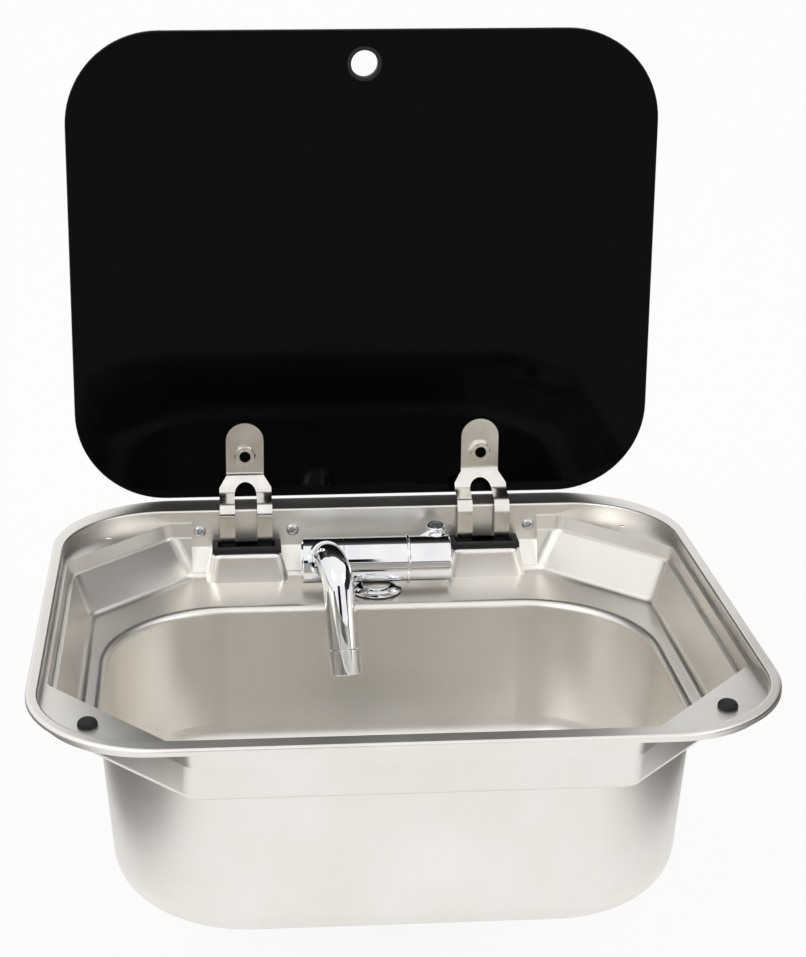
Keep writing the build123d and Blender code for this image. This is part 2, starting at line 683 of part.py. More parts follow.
def handle_cap():
    """The snap-in cap on the right end of the handle."""
    return rod_x(5.0, RIGHT_X - 1.6, RIGHT_X + 0.2)


def waste_flange():
    """The drilled strainer dish that lies in the dip of the bowl floor."""
    top = DISH_Z
    points = [(3.2, top - 12), (20, top - 12), (23.5, top - 9.5), (25.0, top), (33.5, top),
              (34.5, top + 0.4), (34.0, top + 1.4), (25.5, top + 1.4), (22.6, top - 8.2),
              (19.4, top - 10.6), (3.2, top - 10.6)]
    dish = turned(points)
    holes = Part()
    for count, radius in ((6, 8.2), (12, 14.6)):
        for place in PolarLocations(radius, count):
            holes += place * disc(2.1, top - 14, top - 6)
    return Pos(0, DRAIN_Y, 0) * (dish - holes)


def waste_body():
    """The moulded cup under the bowl floor, narrowing to the outlet tail."""
    top = STRAINER_Z - SHEET - 2.0
    end = top - TAIL_DROP
    bore = TAIL_R - 2.4
    outer = [(0, end), (TAIL_R, end), (TAIL_R, top - 24), (16, top - 20), (28, top - 14),
             (28, top - 4), (33, top - 3), (33, top), (0, top)]
    inner = [(0, end - 1), (bore, end - 1), (bore, top - 21.5), (14.5, top - 18), (25.6, top - 12),
             (25.6, top + 1), (0, top + 1)]
    cup = turned(outer) - turned(inner)
    cup += disc(5.0, top - 30, top - 11.4)
    for turn in (0, 90):
        cup += Rot(0, 0, turn) * box(-24, 24, -1.0, 1.0, top - 19, top - 12.5)
    cup -= disc(2.6, top - 26, top)
    return Pos(0, DRAIN_Y, 0) * cup


def waste_screw():
    """The screw that draws the strainer and the cup together."""
    top = DISH_Z
    screw = disc(2.6, top - 27, top - 10.4) + disc(5.2, top - 10.6, top - 8.8)
    slot = box(-6, 6, -0.6, 0.6, top - 9.6, top - 8)
    return Pos(0, DRAIN_Y, 0) * (screw - slot)


def drain_plug():
    """The soft stopper that rests in the mouth of the strainer."""
    top = DISH_Z
    points = [(0, top - 4), (22.6, top - 4), (25.0, top + 1.5), (28.5, top + 1.5),
              (28.0, top + 3.2), (9, top + 4.4), (0, top + 4.4)]
    plug = turned(points)
    return Pos(0, DRAIN_Y, 0) * (plug - disc(3.0, top - 2, top + 6))


def plug_knob():
    """The turned knob that lifts the stopper."""
    top = DISH_Z
    grip = disc(6.4, top + 8.5, top + 15)
    grip = fillet(grip.edges().filter_by(GeomType.CIRCLE), 2.4)
    neck = disc(4.6, top + 4.4, top + 6.0) + disc(3.2, top + 5.0, top + 10)
    return Pos(0, DRAIN_Y, 0) * (grip + neck + disc(3.0, top - 2, top + 5))


os.makedirs("parts", exist_ok=True)

housing, insert = spout_tip()
under = DECK_Z - SHEET
sheet_low = STRAINER_Z - SHEET
pieces = {
    "basin": basin(),
    "rim_seal": rim_seal(),
    "glass_lid": glass_lid(),
    "finger_grommet": finger_grommet(),
    "lid_pads": both_sides(lid_pad),
    "lid_bolts": both_sides(lid_bolt),
    "lid_nuts": both_sides(lid_nut),
    "hinge_pin_clips": both_sides(pin_clip),
    "hinge_screws": four_screws(hinge_screw),
    "hinge_nuts": four_screws(hinge_nut),
    "tap_base": tap_base(),
    "tap_base_seal": ring(16.6, SHANK_R + 0.1, DECK_Z, DECK_Z + 1.0, HUB_X, HUB_Y),
    "tap_body": tap_body(),
    "tap_washer_soft": ring(17.0, SHANK_R, under - 2.0, under, HUB_X, HUB_Y),
    "tap_washer_steel": ring(18.0, SHANK_R, under - 3.5, under - 2.0, HUB_X, HUB_Y),
    "tap_nut": hexagon_nut(30.0, SHANK_R, under - 11.5, under - 3.5, HUB_X, HUB_Y),
    "handle_ring": handle_ring(),
    "cartridge": cartridge(),
    "cartridge_stem": cartridge_stem(),
    "barrel_left": barrel_left(),
    "barrel_cap": barrel_cap(),
    "spout_collar": spout_collar(),
    "spout_tube": spout_tube(),
    "aerator_housing": housing,
    "aerator_insert": insert,
    "handle": handle(),
    "handle_screw": handle_screw(),
    "handle_cap": handle_cap(),
    "lever_button": lever_button(),
    "waste_flange": waste_flange(),
    "waste_seal_upper": ring(33.0, 26.4, STRAINER_Z, DISH_Z, 0, DRAIN_Y),
    "waste_seal_lower": ring(32.6, 26.0, sheet_low - 2.0, sheet_low, 0, DRAIN_Y),
    "waste_body": waste_body(),
    "waste_screw": waste_screw(),
    "drain_plug": drain_plug(),
    "plug_knob": plug_knob(),
}
for side, word in ((-1, "left"), (1, "right")):
    place = Pos(side * HINGE_X, 0, 0)
    pieces["lid_bumper_" + word] = lid_bumper(side)
    pieces["slot_gasket_" + word] = slot_gasket(side)
    pieces["hinge_arm_" + word] = hinge_arm(side)
    pieces["hinge_bracket_" + word] = place * hinge_bracket()
    pieces["hinge_pin_" + word] = place * hinge_pin()
    pieces["hinge_spacer_" + word] = place * hinge_spacer()

for name, shape in pieces.items():
    export_step(shape, "parts/" + name + ".step")
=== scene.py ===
from math import cos, pi, radians, sin

import bmesh
import bpy
from mathutils import Matrix, Vector


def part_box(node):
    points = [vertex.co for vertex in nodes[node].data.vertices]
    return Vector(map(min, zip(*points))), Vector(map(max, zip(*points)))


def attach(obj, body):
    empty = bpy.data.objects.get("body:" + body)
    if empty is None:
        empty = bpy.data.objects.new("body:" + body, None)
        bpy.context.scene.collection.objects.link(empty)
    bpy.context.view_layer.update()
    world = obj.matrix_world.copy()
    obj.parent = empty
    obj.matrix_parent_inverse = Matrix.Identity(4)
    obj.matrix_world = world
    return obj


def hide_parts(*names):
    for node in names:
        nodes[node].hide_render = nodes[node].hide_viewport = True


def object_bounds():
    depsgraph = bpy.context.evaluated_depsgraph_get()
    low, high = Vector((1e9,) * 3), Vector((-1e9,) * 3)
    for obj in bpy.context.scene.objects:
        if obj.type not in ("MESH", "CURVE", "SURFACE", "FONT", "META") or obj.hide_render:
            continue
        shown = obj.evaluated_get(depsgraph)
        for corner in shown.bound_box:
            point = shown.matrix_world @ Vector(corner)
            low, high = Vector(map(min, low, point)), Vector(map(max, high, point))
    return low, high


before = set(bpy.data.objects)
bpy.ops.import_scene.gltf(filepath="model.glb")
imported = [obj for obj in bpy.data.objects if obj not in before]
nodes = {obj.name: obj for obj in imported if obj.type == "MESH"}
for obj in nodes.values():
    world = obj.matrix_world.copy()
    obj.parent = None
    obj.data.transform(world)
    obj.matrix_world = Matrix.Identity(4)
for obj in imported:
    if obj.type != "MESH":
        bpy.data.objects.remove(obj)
cad_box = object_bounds()

# Real sizes in metres, in the frame of the pressed basin: its flange top is z = 0
MM = 0.001
HINGE_X = 82 * MM
SCREW_PITCH = 64 * MM
SCREW_Z = -15 * MM
PANEL_Y = 162 * MM
HUB = Vector((4.5, 124, 0)) * MM
HUB_TOP_Z = -41 * MM
WEB_FRONT = 5.3 * MM
SHANK_R = 11 * MM
WASTE = Vector((0, -26, 0)) * MM
TAIL_R = 12.7 * MM
BARREL_ROOT = Vector((-33.5, 131.5, -26)) * MM
BOSS_YAW = radians(14)
BOSS_TILT = radians(25)
BOSS_LENGTH = 18.5 * MM
SPOUT_REACH = 0.4 * MM
SPOUT_BEND = radians(97.5)
SPOUT_BEND_R = 19 * MM
SPOUT_DROP = 38.5 * MM
BOLT_Z = 33 * MM


# ---------------------------------------------------------------- helpers

def linear(code):
    """An sRGB hex colour as the linear colour that a shader socket takes."""
    parts = [int(code[i:i + 2], 16) / 255 for i in (1, 3, 5)]
    return tuple(c / 12.92 if c <= 0.04045 else ((c + 0.055) / 1.055) ** 2.4 for c in parts) + (1.0,)


def add(tree, kind, inputs=None, **settings):
    """Adds a node with its settings; an input is a value, or an output to link from."""
    node = tree.nodes.new(kind)
    for key, value in settings.items():
        setattr(node, key, value)
    for key, value in (inputs or {}).items():
        if isinstance(value, bpy.types.NodeSocket):
            tree.links.new(value, node.inputs[key])
        else:
            node.inputs[key].default_value = value
    return node


def finish_of(name, values, place="Object"):
    """A material named for what it is, with its shader's plain values and a coordinate output."""
    material = bpy.data.materials.new(name)
    material.use_nodes = True
    tree = material.node_tree
    skin = tree.nodes["Principled BSDF"]
    for key, value in values.items():
        skin.inputs[key].default_value = value
    return material, tree, skin, add(tree, "ShaderNodeTexCoord").outputs[place]


def grain(tree, place, scale, detail=2.0, stretch=None):
    """Noise whose features are 1/scale metres apart, optionally drawn out along an axis."""
    if stretch:
        place = add(tree, "ShaderNodeMapping", {"Vector": place, "Scale": stretch}).outputs[0]
    noise = add(tree, "ShaderNodeTexNoise", {"Vector": place, "Scale": scale, "Detail": detail})
    return noise.outputs[0]


def between(tree, amount, low, high, start=0.3, stop=0.7):
    """A value that runs from low to high as amount runs from start to stop."""
    return add(tree, "ShaderNodeMapRange", {0: amount, 1: start, 2: stop, 3: low, 4: high}).outputs[0]


def tint(tree, amount, first, second):
    """A colour that runs between two sRGB hex colours."""
    mix = add(tree, "ShaderNodeMix", {0: amount, 6: linear(first), 7: linear(second)}, data_type="RGBA")
    return mix.outputs[2]


def paint(tree, skin, amount, first, second):
    """Mottles the surface between two sRGB hex colours."""
    tree.links.new(tint(tree, between(tree, amount, 0, 1), first, second), skin.inputs["Base Color"])


def relief(tree, skin, height, depth, strength, under=None):
    """Raises the surface by a height pattern whose full depth is given in metres."""
    inputs = {"Height": height, "Distance": depth, "Strength": strength}
    if under:
        inputs["Normal"] = under
    bump = add(tree, "ShaderNodeBump", inputs).outputs[0]
    tree.links.new(bump, skin.inputs["Normal"])
    return bump


# ---------------------------------------------------------------- finishes

def satin_stainless():
    """Deep-drawn 304 sheet with a fine satin grit: soft warm sheen with cloudy pull marks."""
    material, tree, skin, place = finish_of("satin_stainless_304", {"Metallic": 1.0})
    # hairlines drawn 0.5 mm apart and 25 mm long, coarser than the real 0.05 mm so that they show
    hair = grain(tree, place, 1.0, 3.0, (40.0, 2000.0, 2000.0))
    # the sheet's own grit, drawn 0.8 mm apart
    grit = grain(tree, place, 1250.0, 4.0)
    # where the sheet was pulled over the tool, cloudy over 60 mm
    cloud = grain(tree, place, 16.0, 4.0)
    paint(tree, skin, cloud, "#eae6df", "#f3f0ec")
    dull = add(tree, "ShaderNodeMath", {
        0: between(tree, grit, 0.27, 0.37), 1: between(tree, cloud, 0, 0.05)})
    tree.links.new(dull.outputs[0], skin.inputs["Roughness"])
    fine = relief(tree, skin, hair, 0.01 * MM, 0.12)
    relief(tree, skin, grit, 0.02 * MM, 0.3, fine)
    return material


def bright_strip():
    """Rolled 304 strip, tumbled bright: nearly mirror with faint rolling lines."""
    material, tree, skin, place = finish_of("bright_stainless_strip", {"Metallic": 1.0})
    lines = grain(tree, place, 1.0, 2.0, (1800.0, 40.0, 40.0))
    dull = grain(tree, place, 90.0, 3.0)
    paint(tree, skin, dull, "#e6e2da", "#f4f2ee")
    tree.links.new(between(tree, dull, 0.1, 0.22), skin.inputs["Roughness"])
    relief(tree, skin, lines, 0.01 * MM, 0.2)
    return material


def polished_chrome():
    """Chrome over polished brass: a clear mirror with the faintest wipe marks."""
    material, tree, skin, place = finish_of("polished_chrome", {"Metallic": 1.0})
    wipe = grain(tree, place, 60.0, 3.0)
    paint(tree, skin, wipe, "#e8eaed", "#f6f7f8")
    tree.links.new(between(tree, wipe, 0.02, 0.06), skin.inputs["Roughness"])
    # the casting's polish leaves a slow ripple about 12 mm long
    relief(tree, skin, grain(tree, place, 80.0, 1.0), 0.05 * MM, 0.1)
    return material


def black_glass():
    """Toughened float glass backed with black enamel: deep black, thinly coated against glare."""
    values = {"IOR": 1.52, "Specular IOR Level": 0.06}
    material, tree, skin, place = finish_of("black_enamelled_glass", values)
    facing = add(tree, "ShaderNodeTexCoord").outputs["Normal"]
    split = add(tree, "ShaderNodeSeparateXYZ", {0: facing})
    flat = add(tree, "ShaderNodeMath", {0: split.outputs[1]}, operation="ABSOLUTE")
    ground = between(tree, flat.outputs[0], 1.0, 0.0, 0.86, 0.97)
    tree.links.new(tint(tree, ground, "#020203", "#1c2020"), skin.inputs["Base Color"])
    # wiped smears about 40 mm long
    smear = between(tree, grain(tree, place, 9.0, 4.0, (1.0, 1.0, 3.0)), 0.05, 0.1)
    rough = add(tree, "ShaderNodeMath", {0: smear, 1: ground}, operation="MAXIMUM")
    soft = add(tree, "ShaderNodeMath", {0: rough.outputs[0], 1: 0.45}, operation="MINIMUM")
    tree.links.new(soft.outputs[0], skin.inputs["Roughness"])
    return material


def black_rubber():
    """Moulded nitrile rubber: matt black with a fine tool texture."""
    values = {"Specular IOR Level": 0.35}
    material, tree, skin, place = finish_of("black_nitrile_rubber", values)
    bloom = grain(tree, place, 120.0, 3.0)
    paint(tree, skin, bloom, "#111112", "#1f1f20")
    tree.links.new(between(tree, bloom, 0.5, 0.7), skin.inputs["Roughness"])
    # tool texture drawn 0.5 mm apart
    relief(tree, skin, grain(tree, place, 2000.0, 2.0), 0.02 * MM, 0.3)
    return material


def zinc_steel():
    """Zinc-plated steel, clear passivated: dull silver with a faint blotch."""
    material, tree, skin, place = finish_of("zinc_plated_steel", {"Metallic": 1.0})
    blotch = grain(tree, place, 200.0, 4.0)
    paint(tree, skin, blotch, "#b9bcc0", "#d9dbdc")
    tree.links.new(between(tree, blotch, 0.25, 0.42), skin.inputs["Roughness"])
    relief(tree, skin, grain(tree, place, 1600.0, 2.0), 0.02 * MM, 0.25)
    return material


def glass_filled_nylon():
    """Moulded glass-filled nylon: mid grey, slightly mottled and matt."""
    material, tree, skin, place = finish_of("grey_glass_filled_nylon", {"IOR": 1.53})
    mottle = grain(tree, place, 150.0, 4.0)
    paint(tree, skin, mottle, "#5c5d5f", "#6c6d6f")
    tree.links.new(between(tree, mottle, 0.42, 0.6), skin.inputs["Roughness"])
    relief(tree, skin, grain(tree, place, 1800.0, 2.0), 0.03 * MM, 0.3)
    return material


def turned_brass():
    """Turned CZ121 brass: yellow metal with tool rings."""
    material, tree, skin, place = finish_of("turned_brass", {"Metallic": 1.0})
    stain = grain(tree, place, 140.0, 4.0)
    paint(tree, skin, stain, "#b8934a", "#d8bb76")
    tree.links.new(between(tree, stain, 0.22, 0.38), skin.inputs["Roughness"])
    # tool rings drawn 0.4 mm apart
    relief(tree, skin, grain(tree, place, 1.0, 1.0, (60.0, 60.0, 2500.0)), 0.02 * MM, 0.3)
    return material


def marker_acrylic():
    """The glossy moulded marker in the lever, a cool grey."""
    material, tree, skin, place = finish_of("grey_marker_acrylic", {"IOR": 1.49, "Coat Weight": 0.6})
    swirl = grain(tree, place, 400.0, 2.0)
    paint(tree, skin, swirl, "#4b4f55", "#6b7077")
    tree.links.new(between(tree, swirl, 0.15, 0.3), skin.inputs["Roughness"])
    return material


def painted_recess_shade():
    """Painted shade inside bores and screw recesses: dark, dull steel in place of the shadow there."""
    values = {"Metallic": 0.4, "Specular IOR Level": 0.2}
    material, tree, skin, place = finish_of("painted_recess_shade", values)
    shade_mottle = grain(tree, place, 900.0, 3.0)
    # painted shade: near-black and mottled, where the hollows would fall into shadow
    paint(tree, skin, shade_mottle, "#070606", "#15130f")
    tree.links.new(between(tree, shade_mottle, 0.55, 0.8), skin.inputs["Roughness"])
    relief(tree, skin, shade_mottle, 0.03 * MM, 0.3)
    return material


satin = satin_stainless()
strip = bright_strip()
chrome = polished_chrome()
glass = black_glass()
rubber = black_rubber()
zinc = zinc_steel()
nylon = glass_filled_nylon()
brass = turned_brass()
marker = marker_acrylic()
recess_shade = painted_recess_shade()

dressing = {
    satin: ["basin", "waste_flange"],
    strip: ["hinge_arm_left", "hinge_arm_right", "lid_bolts", "lid_nuts"],
    chrome: ["tap_base", "tap_body", "handle_ring", "barrel_left", "barrel_cap", "spout_collar",
             "spout_tube", "aerator_housing", "handle", "handle_cap", "plug_knob"],
    glass: ["glass_lid"],
    rubber: ["rim_seal", "lid_bumper_left", "lid_bumper_right", "slot_gasket_left",
             "slot_gasket_right", "finger_grommet", "lid_pads", "tap_base_seal", "tap_washer_soft",
             "waste_seal_upper", "waste_seal_lower", "drain_plug"],
    zinc: ["hinge_bracket_left", "hinge_bracket_right", "hinge_pin_left", "hinge_pin_right",
           "hinge_pin_clips", "hinge_nuts", "tap_washer_steel", "waste_screw", "handle_screw"],
    nylon: ["waste_body", "hinge_spacer_left", "hinge_spacer_right", "aerator_insert"],
    brass: ["tap_nut", "cartridge", "cartridge_stem"],
    marker: ["lever_button"],
}
for finish, names in dressing.items():
    for name in names:
        nodes[name].data.materials.clear()
        nodes[name].data.materials.append(finish)


# ---------------------------------------------------------------- shapes

def turned(profile, steps=48):
    """A round mesh about Z from a list of (radius, height); its ends close on the axis."""
    mesh = bmesh.new()
    rings = []
    for radius, height in profile:
        if radius == 0:
            rings.append([mesh.verts.new((0, 0, height))])
            continue
        turns = [2 * pi * i / steps for i in range(steps)]
        rings.append([mesh.verts.new((radius * cos(a), radius * sin(a), height)) for a in turns])
    for low, high in zip(rings, rings[1:]):
        for i in range(steps):
            j = (i + 1) % steps
            corners = [low[i % len(low)], low[j % len(low)], high[j % len(high)], high[i % len(high)]]
            mesh.faces.new(list(dict.fromkeys(corners)))
    bmesh.ops.recalc_face_normals(mesh, faces=mesh.faces)
    data = bpy.data.meshes.new("turned")
    mesh.to_mesh(data)
    mesh.free()
    return data


def block(size, place=(0, 0, 0), turn=0.0):
    """A block of a size, centred on a place and turned about Z."""
    mesh = bmesh.new()
    bmesh.ops.create_cube(mesh, size=1.0)
    shape = Matrix.Translation(place) @ Matrix.Rotation(turn, 4, "Z") @ Matrix.Diagonal((*size, 1))
    bmesh.ops.transform(mesh, matrix=shape, verts=mesh.verts)
    data = bpy.data.meshes.new("block")
    mesh.to_mesh(data)
    mesh.free()
    return data


def holder(name, data):
    """An object that carries a mesh, in the scene."""
    body = bpy.data.objects.new(name, data)
    bpy.context.scene.collection.objects.link(body)
    return body


def settled(body, name):
    """The object's evaluated shape as a plain mesh object, in place of the first one."""
    bpy.context.view_layer.update()
    shown = body.evaluated_get(bpy.context.evaluated_depsgraph_get())
    data = bpy.data.meshes.new_from_object(shown)
    bpy.data.objects.remove(body)
    data.name = name
    return holder(name, data)


def grown(name, tree, data, values):
    """Runs a geometry tree on a mesh with named input values and keeps the plain result."""
    body = holder(name + "_start", data)
    modifier = body.modifiers.new("grow", "NODES")
    modifier.node_group = tree
    for item in tree.interface.items_tree:
        if item.in_out == "INPUT" and item.name in values:
            modifier[item.identifier] = values[item.name]
    return settled(body, name)


def placed(body, matrix):
    """Moves a finished mesh, leaving its object at the origin."""
    body.data.transform(matrix)
    body.data.update()
    return body


def smooth(body, angle=35):
    """Smooth shading, with edges kept sharp past an angle."""
    for face in body.data.polygons:
        face.use_smooth = True
    body.data.set_sharp_from_angle(angle=radians(angle))
    return body


def tree_with(name, sockets):
    """An empty geometry tree with named inputs and a geometry output."""
    tree = bpy.data.node_groups.new(name, "GeometryNodeTree")
    tree.interface.new_socket("Geometry", in_out="OUTPUT", socket_type="NodeSocketGeometry")
    for label, kind in sockets.items():
        tree.interface.new_socket(label, in_out="INPUT", socket_type="NodeSocket" + kind)
    return tree, add(tree, "NodeGroupInput").outputs


def close_tree(tree, geometry, material):
    """Ends a tree in Realize Instances and Set Material."""
    real = add(tree, "GeometryNodeRealizeInstances", {0: geometry}).outputs[0]
    coat = add(tree, "GeometryNodeSetMaterial", {"Geometry": real, "Material": material})
    add(tree, "NodeGroupOutput", {0: coat.outputs[0]})
    return tree


def row_tree():
    """Repeats the incoming piece in a straight centred row."""
    sockets = {"Piece": "Geometry", "Count": "Int", "Step": "Vector", "Finish": "Material"}
    tree, given = tree_with("row_of_pieces", sockets)
    less = add(tree, "ShaderNodeMath", {0: given["Count"], 1: 1.0}, operation="SUBTRACT").outputs[0]
    half = add(tree, "ShaderNodeMath", {0: less, 1: -0.5}, operation="MULTIPLY").outputs[0]
    start = add(tree, "ShaderNodeVectorMath", {0: given["Step"], "Scale": half}, operation="SCALE")
    line = add(tree, "GeometryNodeMeshLine", {
        "Count": given["Count"], "Start Location": start.outputs[0], "Offset": given["Step"]})
    copies = add(tree, "GeometryNodeInstanceOnPoints", {
        "Points": line.outputs[0], "Instance": given["Piece"]})
    return close_tree(tree, copies.outputs[0], given["Finish"])


def wheel_tree():
    """Repeats the incoming piece round the Z axis at a radius."""
    sockets = {"Piece": "Geometry", "Count": "Int", "Radius": "Float", "Finish": "Material"}
    tree, given = tree_with("wheel_of_pieces", sockets)
    circle = add(tree, "GeometryNodeCurvePrimitiveCircle", {
        "Resolution": given["Count"], "Radius": given["Radius"]})
    order = add(tree, "GeometryNodeInputIndex").outputs[0]
    part = add(tree, "ShaderNodeMath", {0: order, 1: given["Count"]}, operation="DIVIDE").outputs[0]
    angle = add(tree, "ShaderNodeMath", {0: part, 1: 2 * pi}, operation="MULTIPLY").outputs[0]
    turn = add(tree, "ShaderNodeCombineXYZ", {2: angle}).outputs[0]
    copies = add(tree, "GeometryNodeInstanceOnPoints", {
        "Points": circle.outputs[0], "Instance": given["Piece"], "Rotation": turn})
    return close_tree(tree, copies.outputs[0], given["Finish"])


def thread_tree():
    """A screw thread's ridge: a spiral of a pitch, with a three-sided section."""
    sockets = {"Radius": "Float", "Height": "Float", "Pitch": "Float", "Ridge": "Float",
               "Finish": "Material"}
    tree, given = tree_with("screw_thread", sockets)
    turns = add(tree, "ShaderNodeMath", {0: given["Height"], 1: given["Pitch"]},
                operation="DIVIDE").outputs[0]
    spiral = add(tree, "GeometryNodeCurveSpiral", {
        "Resolution": 40, "Rotations": turns, "Start Radius": given["Radius"],
        "End Radius": given["Radius"], "Height": given["Height"]})
    section = add(tree, "GeometryNodeCurvePrimitiveCircle", {"Resolution": 3, "Radius": given["Ridge"]})
    ridge = add(tree, "GeometryNodeCurveToMesh", {
        "Curve": spiral.outputs[0], "Profile Curve": section.outputs[0], "Fill Caps": True})
    return close_tree(tree, ridge.outputs[0], given["Finish"])


row = row_tree()
wheel = wheel_tree()
thread = thread_tree()


def ride(body, carrier, stands_for=None):
    """Gives a finished piece its carrier."""
    smooth(body)
    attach(body, carrier)
    if stands_for:
        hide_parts(stands_for)
    return body


# ---------------------------------------------------------------- panel screws

def cross_screw():
    """One M4 pan-head screw with a cross recess, its head facing +Z and its seat at z = 0."""
    ridges = []
    for i in range(9):
        ridges += [(2.0 * MM, -(1.2 + i * 0.6) * MM), (1.7 * MM, -(1.5 + i * 0.6) * MM)]
    crown = [(4.2, 0.0), (4.2, 0.9), (4.05, 1.5), (3.6, 2.05), (2.8, 2.4), (1.6, 2.56)]
    outline = [(0, 2.6 * MM)] + [(r * MM, h * MM) for r, h in reversed(crown)]
    outline += [(2.0 * MM, 0)] + ridges + [(1.3 * MM, -7.0 * MM), (0, -7.0 * MM)]
    screw = holder("screw_blank", turned(outline, 32))
    screw.data.materials.append(zinc)
    screw.data.materials.append(recess_shade)
    for turn in (0.0, pi / 2):
        recess = bmesh.new()
        top, low, wide = 2.7 * MM, 1.2 * MM, 0.55 * MM
        deep, high = 0.9 * MM, 3.0 * MM
        corners = [(-low, -wide * 0.6, deep), (low, -wide * 0.6, deep), (low, wide * 0.6, deep),
                   (-low, wide * 0.6, deep), (-top, -wide, high), (top, -wide, high),
                   (top, wide, high), (-top, wide, high)]
        spots = [recess.verts.new(c) for c in corners]
        for loop in ((3, 2, 1, 0), (4, 5, 6, 7), (0, 1, 5, 4), (1, 2, 6, 5), (2, 3, 7, 6), (3, 0, 4, 7)):
            recess.faces.new([spots[i] for i in loop])
        bmesh.ops.rotate(recess, matrix=Matrix.Rotation(turn + 0.5, 3, "Z"), verts=recess.verts)
        data = bpy.data.meshes.new("recess")
        recess.to_mesh(data)
        recess.free()
        data.materials.append(zinc)
        data.materials.append(recess_shade)
        # every recess face takes the second slot: painted shade in the cross recess
        for face in data.polygons:
            face.material_index = 1
        cutter = holder("recess", data)
        cut = screw.modifiers.new("recess", "BOOLEAN")
        cut.operation = "DIFFERENCE"
        cut.solver = "EXACT"
        cut.object = cutter
        screw = settled(screw, "screw_blank")
        bpy.data.objects.remove(cutter)
    data = screw.data
    data.transform(Matrix.Rotation(pi / 2, 4, "X"))
    bpy.data.objects.remove(screw)
    return data


pair = grown("screw_pair", row, cross_screw(), {"Count": 2, "Step": (SCREW_PITCH, 0, 0), "Finish": zinc})
pair_data = pair.data
bpy.data.objects.remove(pair)
screws = grown("panel_screws", row, pair_data, {"Count": 2, "Step": (2 * HINGE_X, 0, 0), "Finish": zinc})
placed(screws, Matrix.Translation((0, PANEL_Y, SCREW_Z)))
ride(screws, "sink", "hinge_screws")


# ---------------------------------------------------------------- threads, barbs and ribs

seed_mesh = bpy.data.meshes.new("start")
shank_thread = grown("shank_thread", thread, seed_mesh, {
    "Radius": SHANK_R, "Height": 34 * MM, "Pitch": 1.5 * MM, "Ridge": 0.55 * MM, "Finish": chrome})
placed(shank_thread, Matrix.Translation(HUB + Vector((0, 0, -95 * MM))))
ride(shank_thread, "sink")

barb = turned([(TAIL_R - 0.6 * MM, 0), (TAIL_R + 0.1 * MM, 0), (TAIL_R + 0.7 * MM, 3.2 * MM),
               (TAIL_R - 0.6 * MM, 3.4 * MM)])
barbs = grown("tail_barbs", row, barb, {"Count": 4, "Step": (0, 0, 4.6 * MM), "Finish": nylon})
placed(barbs, Matrix.Translation(WASTE + Vector((0, 0, -188.5 * MM))))
ride(barbs, "sink")

rib = block((1.0 * MM, 0.9 * MM, 2.6 * MM))
grip = grown("knob_grip", wheel, rib, {"Count": 28, "Radius": 6.3 * MM, "Finish": chrome})
placed(grip, Matrix.Translation(WASTE + Vector((0, 0, -135.3 * MM))))
ride(grip, "plug")


def spout_tip():
    """The frame at the spout's outlet: its origin on the tube's end, z along the flow."""
    across = Vector((cos(BOSS_YAW), sin(BOSS_YAW), 0))
    ahead = Vector((sin(BOSS_YAW) * cos(BOSS_TILT), -cos(BOSS_YAW) * cos(BOSS_TILT), sin(BOSS_TILT)))
    down = Vector((sin(BOSS_YAW) * sin(BOSS_TILT), -cos(BOSS_YAW) * sin(BOSS_TILT), -cos(BOSS_TILT)))
    reach = BOSS_LENGTH + SPOUT_REACH + SPOUT_BEND_R * sin(SPOUT_BEND) + SPOUT_DROP * cos(SPOUT_BEND)
    drop = SPOUT_BEND_R * (1 - cos(SPOUT_BEND)) + SPOUT_DROP * sin(SPOUT_BEND)
    flow = ahead * cos(SPOUT_BEND) + down * sin(SPOUT_BEND)
    place = BARREL_ROOT + ahead * reach + down * drop
    matrix = Matrix((across, flow.cross(across), flow)).transposed().to_4x4()
    return Matrix.Translation(place) @ matrix


wire = block((16 * MM, 0.3 * MM, 0.3 * MM))
weft = grown("weft", row, wire, {"Count": 11, "Step": (0, 1.3 * MM, 0), "Finish": strip})
weft_data = weft.data
bpy.data.objects.remove(weft)
mesh = bmesh.new()
mesh.from_mesh(weft_data)
warp = bmesh.new()
warp.from_mesh(weft_data)
bmesh.ops.rotate(warp, matrix=Matrix.Rotation(pi / 2, 3, "Z"), verts=warp.verts)
bmesh.ops.translate(warp, vec=(0, 0, 0.25 * MM), verts=warp.verts)
turned_data = bpy.data.meshes.new("warp")
warp.to_mesh(turned_data)
mesh.from_mesh(turned_data)
for vert in mesh.verts:
    flat = Vector((vert.co.x, vert.co.y))
    if flat.length > 8.3 * MM:
        flat = flat * (8.3 * MM / flat.length)
        vert.co.x, vert.co.y = flat
screen_data = bpy.data.meshes.new("outlet_screen")
mesh.to_mesh(screen_data)
mesh.free()
warp.free()
screen_data.materials.append(strip)
screen = holder("outlet_screen", screen_data)
placed(screen, spout_tip() @ Matrix.Translation((0, 0, 15.0 * MM)))
ride(screen, "spout")


cover = turned([(0, 0), (9.1 * MM, 0), (9.1 * MM, 0.15 * MM), (8.8 * MM, 0.35 * MM), (0, 0.4 * MM)])
for vert in cover.vertices:
    vert.co.y = min(vert.co.y, WEB_FRONT)
cover.materials.append(satin)
hub_cover = placed(holder("hub_cover", cover), Matrix.Translation(HUB + Vector((0, 0, HUB_TOP_Z))))
ride(hub_cover, "sink")

bolt_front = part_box("lid_bolts")[0][1]
